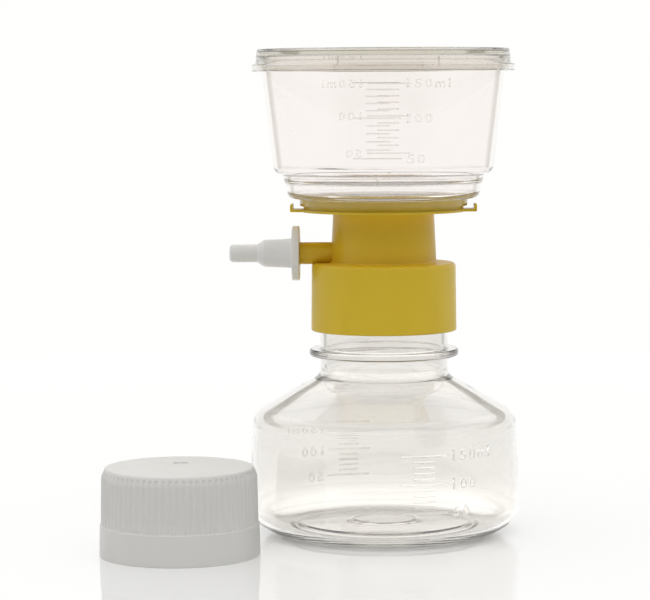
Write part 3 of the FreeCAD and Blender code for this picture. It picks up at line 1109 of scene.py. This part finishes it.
@dataclass
class UpperChamber(SubAssembly):
    """Clear stepped chamber over the membrane. Sizes in millimetres."""

    body = Body.FILTER_HEAD
    finish: ClearPlastic
    marks: ClearPlastic
    wall: float = 1.2
    foot_wall: float = 0.7
    clamp_bore: float = 23.4
    clamp_radius: float = 24.7
    clamp_height: float = 2.05
    skirt_radius: float = 27.55
    weld_bore: float = 26.24
    weld_drop: float = 0.31
    skirt_depth: float = 2.4
    shelf_z: float = 110.1
    shelf_overhang: float = 3.8
    shelf_round: float = 2.2
    low_step_height: float = 4.8
    low_step_flare: float = 0.5
    band_step: float = 0.55
    band_step_rise: float = 0.4
    band_height: float = 2.8
    band_flare: float = 0.5
    ledge_width: float = 2.8
    ledge_fillet: float = 0.6
    ledge_round: float = 2.6
    inner_round: float = 0.5
    side_height: float = 38.3
    draft: float = 6.87
    brim_width: float = 0.3
    brim_height: float = 1.5
    brim_round: float = 0.25
    edge_round: float = 0.18
    full_line_height: float = 147.6
    line_step: float = 2.044
    line_step_growth: float = 0.0332
    scale_azimuth: float = -3.0
    arrow_azimuth: float = -3.5
    arrow_rise: float = 0.15
    arrow_sides: tuple[tuple[float, float], ...] = ((STAND_OFF, 1.0), (0.46, 0.10))

    @property
    def band_foot(self) -> tuple[float, float]:
        """Radius and height of the band's lower edge."""
        return (self.skirt_radius + self.shelf_overhang + self.low_step_flare + self.band_step,
                self.shelf_z + self.low_step_height + self.band_step_rise)

    @property
    def wall_foot(self) -> tuple[float, float]:
        """Outer radius and height at the foot of the tall wall."""
        radius, height = self.band_foot
        return radius + self.band_flare + self.ledge_width, height + self.band_height

    def profile(self) -> Profile:
        """Closed section: clamp ring, skirt, steps, wall, brim and back inside.

        Returns:
            The section.
        """
        (band_radius, band_z), (wall_radius, ledge_z) = self.band_foot, self.wall_foot
        shelf_radius = self.skirt_radius + self.shelf_overhang
        top_z = ledge_z + self.side_height
        lean = math.tan(math.radians(self.draft))
        wall_top = wall_radius + self.side_height * lean
        edge = self.edge_round
        outside = [
            (self.clamp_bore, self.shelf_z, 0.0),
            (shelf_radius, self.shelf_z, self.shelf_round),
            (shelf_radius + self.low_step_flare, band_z - self.band_step_rise, edge),
            (band_radius, band_z, edge),
            (band_radius + self.band_flare, ledge_z, self.ledge_fillet),
            (wall_radius, ledge_z, self.ledge_round),
            (wall_top, top_z, 0.0),
        ]
        inside = inside_path(outside, [self.wall, *[self.foot_wall] * 4, self.wall],
                             roundest=self.inner_round)
        brim_z = top_z - self.brim_height
        clamp_foot, skirt_foot = self.shelf_z - self.clamp_height, self.shelf_z - self.skirt_depth
        seat = self.shelf_z - self.weld_drop
        below = [
            (self.clamp_bore, clamp_foot, edge),
            (self.clamp_radius, clamp_foot, edge),
            (self.clamp_radius, seat, edge),
            (self.weld_bore, seat, edge),
            (self.weld_bore, skirt_foot, edge),
            (self.skirt_radius, skirt_foot, edge),
            (self.skirt_radius, self.shelf_z, edge),
        ]
        brim = [
            (wall_top - self.brim_height * lean, brim_z, 0.1),
            (wall_top + self.brim_width, brim_z, self.brim_round),
            (wall_top + self.brim_width, top_z, self.brim_round),
            (*inside[-1][:2], self.brim_round),
        ]
        return Profile(below + outside[1:-1] + brim + inside[-2:0:-1]
                       + [(*inside[0][:2], edge)], closed=True, longest_run=2.5)

    def pieces(self) -> list[Object]:
        """Make the shell, the arrows and the scale.

        Returns:
            The pieces, the shell first.
        """
        material = self.finish.material()
        shell = self.turning.shell("chamber_shell", self.profile(), material, uneven=Unevenness(
            ripple=0.012, ripple_size=26.0, seed=8.0))
        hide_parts("upper_chamber")
        radius, height = self.wall_foot
        scale = Graduation(
            name="chamber_scale",
            wall=RoundWall(radius * MM, height * MM, math.tan(math.radians(self.draft))),
            heights=self._line_heights(),
            azimuth=math.radians(self.scale_azimuth),
            long_line=(-7.6 * MM, 7.6 * MM),
            short_line=(-3.5 * MM, 4.0 * MM),
            number_start=9.5 * MM,
            number_height=2.65 * MM)
        return [shell, self._arrows(material),
                *scale.build(self.graduations, self.marks.material())]

    def _line_heights(self) -> dict[int, float]:
        """Height of each 10 ml line, closer together as the chamber widens."""
        drops = {150 - 10 * step: step * self.line_step + step * step * self.line_step_growth
                 for step in range(11)}
        return {volume: (self.full_line_height - drop) * MM for volume, drop in drops.items()}

    def _arrows(self, material: Material) -> Object:
        """Small raised arrows on the band, front and back, that point up.

        Args:
            material: Their finish.

        Returns:
            The arrows, as one piece.
        """
        outline = [(-0.42, 0.0), (0.42, 0.0), (0.42, 1.9), (0.95, 1.9), (0.0, 3.5), (-0.95, 1.9),
                   (-0.42, 1.9)]
        radius, foot = self.band_foot
        band = RoundWall(radius * MM, foot * MM, self.band_flare / self.band_height)
        work = bmesh.new()
        for turn in (0.0, math.pi):
            azimuth = math.radians(self.arrow_azimuth) + turn
            near, far = (
                [work.verts.new(band.wrap(
                    x * width * MM, (foot + self.arrow_rise + y) * MM, proud * MM, azimuth))
                 for x, y in outline] for proud, width in self.arrow_sides)
            work.faces.new(far)
            work.faces.new(near[::-1])
            span(work, near, far)
        bmesh.ops.recalc_face_normals(work, faces=work.faces)
        return settle("chamber_arrows", work, material)


@dataclass
class ChamberLid(SubAssembly):
    """Clear lid that rests on the chamber's brim. Sizes in millimetres."""

    body = Body.LID
    finish: ClearPlastic
    chamber_top_z: float = 156.4
    bore: float = 40.98
    wall: float = 0.78
    panel: float = 1.2
    ridge_height: float = 1.15
    ridge_width: float = 1.4
    ridge_slope: float = 0.3
    draft: float = 0.5
    depth: float = 4.86
    band_height: float = 2.3
    band_reach: float = 1.2
    edge_round: float = 0.40
    foot_chamfer: float = 0.36
    foot_chamfer_share: float = 0.58
    ribs: int = 8
    rib_depth: float = 0.3
    rib_width: float = 0.7
    rib_height: float = 3.2
    rib_drop: float = 0.36
    rib_start: float = -20.0

    def profile(self) -> Profile:
        """Section from the middle of the underside, round the rim to the middle of the top.

        Returns:
            The section.
        """
        low = self.chamber_top_z - self.depth
        panel_top = self.chamber_top_z + self.panel
        ridge_top = panel_top + self.ridge_height
        side, edge = self.bore + self.wall, self.edge_round
        band, ridge = side + self.band_reach, side - self.draft
        return Profile([
            (0.0, self.chamber_top_z, 0.0),
            (self.bore, self.chamber_top_z, edge),
            (self.bore, low, 0.15),
            (band - self.foot_chamfer * self.foot_chamfer_share, low, 0.05),
            (band, low + self.foot_chamfer, 0.05),
            (band, low + self.band_height, edge),
            (side, low + self.band_height, 0.2),
            (ridge, ridge_top, edge),
            (ridge - self.ridge_width, ridge_top, edge),
            (ridge - self.ridge_width - self.ridge_slope, panel_top, edge),
            (0.0, panel_top, 0.0),
        ], longest_run=4.0)

    def pieces(self) -> list[Object]:
        """Make the shell and its ribs.

        Returns:
            The pieces, the shell first.
        """
        material = self.finish.material()
        shell = self.turning.shell("lid_shell", self.profile(), material, uneven=Unevenness(
            ripple=0.010, ripple_size=22.0, seed=5.0))
        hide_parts("chamber_lid")
        return [shell, self._ribs(material)]

    def _ribs(self, material: Material) -> Object:
        """Small upright ribs inside the rim that grip the brim.

        Args:
            material: Their finish.

        Returns:
            The ribs, as one piece.
        """
        work = bmesh.new()
        centre = Vector((self.bore - self.rib_depth / 2 - STAND_OFF, 0.0,
                         self.chamber_top_z - self.rib_drop - self.rib_height / 2))
        for index in range(self.ribs):
            azimuth = math.radians(self.rib_start + 360 * index / self.ribs)
            for vertex in bmesh.ops.create_cube(work, size=1.0)["verts"]:
                x, y, z = vertex.co
                narrow = 1.0 if x > 0 else 0.6
                vertex.co = Vector((x * self.rib_depth, y * self.rib_width * narrow,
                                    z * self.rib_height)) + centre
                vertex.co.rotate(Matrix.Rotation(azimuth - math.pi / 2, 3, "Z"))
                vertex.co *= MM
        bmesh.ops.bevel(work, geom=work.edges[:], offset=0.10 * MM, segments=2, affect="EDGES")
        return settle("lid_ribs", work, material)


@dataclass
class StorageCap(SubAssembly):
    """White ribbed cap that stands mouth down beside the bottle. Sizes in millimetres."""

    body, slot = Body.CAP, Slot.CAP
    finish: MouldedPlastic
    centre: tuple[float, float] = (-64.5, -44.0)
    bore: float = 22.7
    height: float = 27.7
    roof: float = 1.9
    skirt_foot_radius: float = 25.35
    skirt_top_radius: float = 25.10
    skirt_height: float = 9.72
    rib_radius: float = 24.80
    rib_foot: float = 9.98
    shoulder_radius: float = 24.52
    shoulder_height: float = 25.0
    shoulder_round: float = 4.0
    top_radius: float = 23.35
    top_round: float = 0.75
    flutes: Flutes = Flutes(count=72, depth=0.50, foot=9.98, top=26.9)
    flute_facets: int = 6
    seal_inner: float = 19.275
    seal_outer: float = 20.275
    seal_height: float = 0.6
    thread_start: float = 5.0
    thread_root: float = 0.05
    gate_radius: float = 2.4
    gate_depth: float = 0.4
    gate_offset: float = 7.5

    def profile(self) -> Profile:
        """Section from the middle of the top, down the outside and back inside.

        Returns:
            The section.
        """
        ceiling = self.height - self.roof
        seal_low = ceiling - self.seal_height
        return Profile([
            (0.0, self.height, 0.0),
            (self.top_radius, self.height, self.top_round),
            (self.shoulder_radius, self.shoulder_height, self.shoulder_round),
            (self.rib_radius, self.rib_foot + 0.26, 0.0),
            (self.rib_radius, self.rib_foot, 0.0),
            (self.skirt_top_radius, self.skirt_height, 0.10),
            (self.skirt_foot_radius, 0.0, 0.25),
            (self.bore, 0.0, 0.25),
            (self.bore, ceiling, 0.3),
            (self.seal_outer, ceiling, 0.1),
            (self.seal_outer, seal_low, 0.15),
            (self.seal_inner, seal_low, 0.15),
            (self.seal_inner, ceiling, 0.1),
            (0.0, ceiling, 0.0),
        ], arc_step=math.radians(15), longest_run=4.0, fine_zone=(23.9, 27.1), fine_run=0.24)

    def pieces(self) -> list[Object]:
        """Make the shell and its thread, and put them in their place on the bench.

        Returns:
            The pieces, the shell first.
        """
        material = self.finish.material()
        shell = self.turning.shell(
            "cap_shell", self.profile(), material,
            segments=self.flutes.count * self.flute_facets, flutes=self.flutes)
        self._cut_gate(shell)
        thread = SCREW_THREAD.ridge(
            "cap_thread", self.bore + self.thread_root, -1.0, self.thread_start, material)
        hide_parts("storage_cap")
        place = Matrix.Translation((self.centre[0] * MM, self.centre[1] * MM, 0.0))
        for piece in (shell, thread):
            piece.data.transform(place)
        return [shell, thread]

    def _cut_gate(self, shell: Object) -> None:
        """Cut the shallow round recess out of the top.

        Args:
            shell: The cap's shell, which gets a new mesh.
        """
        work = bmesh.new()
        bmesh.ops.create_cone(work, cap_ends=True, segments=48, radius1=self.gate_radius * MM,
                              radius2=(self.gate_radius + 0.1) * MM, depth=2 * self.gate_depth * MM)
        cutter = settle("gate_cutter", work)
        cutter.data.transform(
            Matrix.Translation((0.0, self.gate_offset * MM, self.height * MM)))
        modifier = shell.modifiers.new("gate", "BOOLEAN")
        modifier.object, modifier.operation, modifier.solver = cutter, "DIFFERENCE", "EXACT"
        cut = plain_mesh(shell)
        shell.modifiers.remove(modifier)
        leftovers = (shell.data, cutter.data)
        shell.data = cut
        bpy.data.objects.remove(cutter)
        for mesh in leftovers:
            bpy.data.meshes.remove(mesh)
        cut.name = shell.name


@dataclass
class CadFinishes:
    """Finishes of the pieces that keep their CAD meshes, by node."""

    finishes: dict[str, tuple[MouldedPlastic | Film, Slot]]

    def build(self) -> list[Object]:
        """Give each node its finish.

        Returns:
            The nodes.
        """
        for name, (finish, slot) in self.finishes.items():
            frame["nodes"][name].material_slots[0].material = finish.material()
        return [frame["nodes"][name] for name in self.finishes]


# --- Studio ---


@dataclass
class Studio:
    """Camera, light and bench.

    The light has no lamps. It is a white tent whose values differ for the camera,
    for rays that reflections and clear walls send out, and for soft light. Azimuths
    are degrees from straight behind the object, and levels are sines of the height.
    """

    camera_place: tuple[float, float, float] = (0.0, -0.8535, 0.146)
    turn_left: float = math.radians(1.29995)
    tilt_down: float = math.radians(4.65274)
    roll: float = math.radians(0.3)
    lens: float = 144.0
    bounces: tuple[int, int, int] = (40, 24, 40)
    roof_light: float = 1.42
    wall_light: float = 0.05
    flag_dimming: float = 0.45
    gap_dimming: float = 0.80
    front_dimming: float = 0.25
    lamp_light: float = 0.85
    lamp_through: float = 0.55
    summit_dimming: float = 0.40
    bench_radius: float = 0.60
    bench_fade: tuple[float, float] = (0.30, 0.52)
    bench_drop: float = 0.05 * MM
    bench_light: float = 0.22
    bench_seen: float = 0.23
    # painted light: extra glow of the bench near the bottle, seen only through clear walls
    bench_near: float = 0.72
    bench_through: float = 0.10
    # painted shadow: how far the ring round the bottle's foot dims the bench's glow
    touch_dimming: float = 0.45

    def build(self) -> None:
        """Set up everything that isn't the object."""
        self._camera()
        self._world()
        self._bench()
        scene = bpy.context.scene
        paths = scene.cycles
        paths.max_bounces, paths.glossy_bounces, paths.transmission_bounces = self.bounces
        scene.view_settings.view_transform = "Standard"

    def _camera(self) -> None:
        """Long lens, a little above the bench, looking slightly down."""
        east, down = self.turn_left, self.tilt_down
        forward = Vector((-math.sin(east) * math.cos(down), math.cos(east) * math.cos(down),
                          -math.sin(down)))
        right = Vector((math.cos(east), math.sin(east), 0.0))
        up = right.cross(forward)
        turned_right = right * math.cos(self.roll) - up * math.sin(self.roll)
        turned_up = up * math.cos(self.roll) + right * math.sin(self.roll)
        data = bpy.data.cameras.new("camera")
        data.lens, data.sensor_width = self.lens, 36.0
        data.clip_start, data.clip_end = 0.01, 20.0
        camera = new_object("camera", data)
        rotation = Matrix((turned_right, turned_up, -forward)).transposed().to_4x4()
        camera.matrix_world = Matrix.Translation(self.camera_place) @ rotation
        bpy.context.scene.camera = camera

    @staticmethod
    def _rays(graph: Graph, *kinds: str) -> tuple[Signal, ...]:
        """Whether a ray is of each kind, such as Camera or Transmission."""
        path = graph.node("ShaderNodeLightPath")
        return tuple(Signal(graph, path.outputs[f"Is {kind} Ray"]) for kind in kinds)

    def _world(self) -> None:
        """White to the camera; a light tent with a bright roof to everything else."""
        world = bpy.data.worlds.new("studio")
        bpy.context.scene.world = world
        world.use_nodes = True
        graph = Graph(world.node_tree)
        x, y, z = graph.split(graph.place("Generated"))
        camera, glossy, through = self._rays(graph, "Camera", "Glossy", "Transmission")
        soft = self.wall_light + z.ramp(0.25, 0.85) * self.roof_light
        turned = (y / (x * x + y * y).maths("SQRT")).maths("ARCCOSINE") * (180 / math.pi)
        flag = turned.between(30, 34, 42, 48) * (1.0 - abs(z + 0.13).ramp(0.095, 0.11))
        front = turned.ramp(115, 150)
        gap = z.between(0.26, 0.28, 0.42, 0.46) * (1.0 - turned.ramp(60, 90))
        above, summit = z.ramp(0.46, 0.62), z.ramp(0.74, 0.88)
        seen = (1.0 - flag * self.flag_dimming) * (1.0 - front * self.front_dimming)
        seen = seen * (1.0 - gap * self.gap_dimming)
        lamp = (through * self.lamp_through + self.lamp_light) - summit * self.summit_dimming
        seen = seen * (1.0 - above) + above * lamp
        look = (glossy + through).maths("MINIMUM", 1.0)
        soft = soft * (1.0 - look)
        red, green, blue = ((soft + seen ** power * look) * (1.0 - camera) + camera
                            for power in (1.0, 1.04, 1.14))
        shader = graph.node("ShaderNodeBackground", {
            "Color": graph.join(red, green * 0.997, blue * 0.985), "Strength": 1.0})
        graph.node("ShaderNodeOutputWorld", {"Surface": shader})

    def _bench(self) -> None:
        """Glossy white bench that keeps shadows and fades into the background. Its glow has a
        painted contact shadow, a dark ring round the bottle's foot, and painted light near the
        bottle for rays through clear walls.
        """
        work = bmesh.new()
        bmesh.ops.create_circle(work, cap_ends=True, cap_tris=False, segments=128,
                                radius=self.bench_radius)
        material, graph, place = new_material("white_bench")
        x, y, _ = graph.split(place)
        distance = (x * x + y * y).maths("SQRT")
        far = distance.ramp(*self.bench_fade)
        # Painted light: the bench glows brighter near the bottle, for rays through clear walls
        # only.
        near = 1.0 - distance.ramp(0.07, 0.14)
        # Painted shadow: a dark ring in the bench's glow round the bottle's foot.
        painted_contact_shadow = distance.between(0.026, 0.031, 0.036, 0.048)
        camera, glossy, through = self._rays(graph, "Camera", "Glossy", "Transmission")
        seen = (camera + glossy + through).maths("MINIMUM", 1.0)
        fill = (self.bench_light + seen * self.bench_seen
                + through * (near * self.bench_near + self.bench_through))
        matt = graph.node("ShaderNodeBsdfDiffuse", {"Color": (0.55, 0.55, 0.55, 1.0)})
        glow = graph.node("ShaderNodeEmission", {
            "Color": WHITE, "Strength": fill * (1.0 - painted_contact_shadow * self.touch_dimming)})
        lit = graph.node("ShaderNodeAddShader", {0: matt, 1: glow})
        mirror = graph.node("ShaderNodeBsdfGlossy", {"Color": WHITE, "Roughness": 0.04})
        fresnel = graph.signal("ShaderNodeFresnel", {"IOR": 1.5})
        polished = graph.node("ShaderNodeMixShader", {0: fresnel * 1.3, 1: lit, 2: mirror})
        white = graph.node("ShaderNodeEmission", {
            "Color": WHITE, "Strength": 1.0 - through * 0.10})
        mixed = graph.node("ShaderNodeMixShader", {0: far * seen, 1: polished, 2: white})
        graph.node("ShaderNodeOutputMaterial", {"Surface": mixed})
        bench = settle("bench", work, material)
        bench.data.transform(Matrix.Translation((0.0, 0.0, -self.bench_drop)))


# --- Assembly ---


BOTTLE_PLASTIC = ClearPlastic(
    "blown_clear_plastic", face_tint=(0.890, 0.878, 0.858), edge_tint=(0.87, 0.855, 0.83),
    wave_height=0.030 * MM)
CHAMBER_PLASTIC = ClearPlastic(
    "moulded_clear_plastic", face_tint=(0.985, 0.960, 0.948), edge_tint=(0.93, 0.91, 0.875),
    wave_size=20 * MM)
MARK_PLASTIC = ClearPlastic(
    "raised_mark_plastic", face_tint=(0.990, 0.985, 0.975), edge_tint=(0.93, 0.91, 0.875))
LID_PLASTIC = ClearPlastic(
    "clear_lid_plastic", face_tint=(0.830, 0.812, 0.775), edge_tint=(0.84, 0.825, 0.765),
    wave_size=18 * MM)
YELLOW_PLASTIC = MouldedPlastic(
    "yellow_holder_plastic", colour=(0.860, 0.605, 0.033), deep_colour=(0.795, 0.545, 0.024),
    roughness=0.34, index=1.42, milkiness=0.25, milk_depth=2.0 * MM)
CAP_PLASTIC = MouldedPlastic(
    "white_cap_plastic", colour=(0.820, 0.813, 0.791), deep_colour=(0.795, 0.787, 0.765),
    roughness=0.45, index=1.46)
ADAPTER_PLASTIC = MouldedPlastic(
    "milky_adapter_plastic", colour=(0.970, 0.960, 0.920), deep_colour=(0.940, 0.930, 0.890),
    roughness=0.38, index=1.49, milkiness=0.45)
SUPPORT_PLASTIC = MouldedPlastic(
    "white_support_plastic", colour=(0.860, 0.860, 0.840), deep_colour=(0.820, 0.820, 0.800),
    roughness=0.55)
MEMBRANE_FILM = Film("membrane_film", (0.930, 0.930, 0.910), (0.880, 0.880, 0.860))
PLUG_FIBRE = Film("plug_fibre", (0.880, 0.870, 0.840), (0.740, 0.730, 0.700),
                  tooth_size=0.45 * MM, tooth_height=0.10 * MM)
SEAL_RUBBER = Film("seal_rubber", (0.780, 0.770, 0.740), (0.740, 0.730, 0.700),
                   tooth_size=0.8 * MM, tooth_height=0.008 * MM, roughness=0.55)


def main() -> None:
    """Build the classes in order and report each piece."""
    logging.basicConfig(level=logging.INFO, format="%(message)s")
    rules = TurningRule(), GraduationRule()
    for maker in (
            ReceiverBottle(*rules, BOTTLE_PLASTIC, MARK_PLASTIC),
            UpperChamber(*rules, CHAMBER_PLASTIC, MARK_PLASTIC),
            ChamberLid(*rules, LID_PLASTIC),
            StorageCap(*rules, CAP_PLASTIC),
            CadFinishes({
                "filter_holder": (YELLOW_PLASTIC, Slot.YELLOW),
                "hose_adapter": (ADAPTER_PLASTIC, Slot.ADAPTER),
                "support_plate": (SUPPORT_PLASTIC, Slot.SUPPORT),
                "membrane": (MEMBRANE_FILM, Slot.MEMBRANE),
                "port_plug": (PLUG_FIBRE, Slot.FIBRE),
                "neck_gasket": (SEAL_RUBBER, Slot.SEAL)})):
        for piece in maker.build():
            LOG.info("%s: %s, %d faces", type(maker).__name__, piece.name,
                     len(piece.data.polygons))
    Studio().build()
    bpy.context.view_layer.update()


if __name__ == "__main__":
    main()
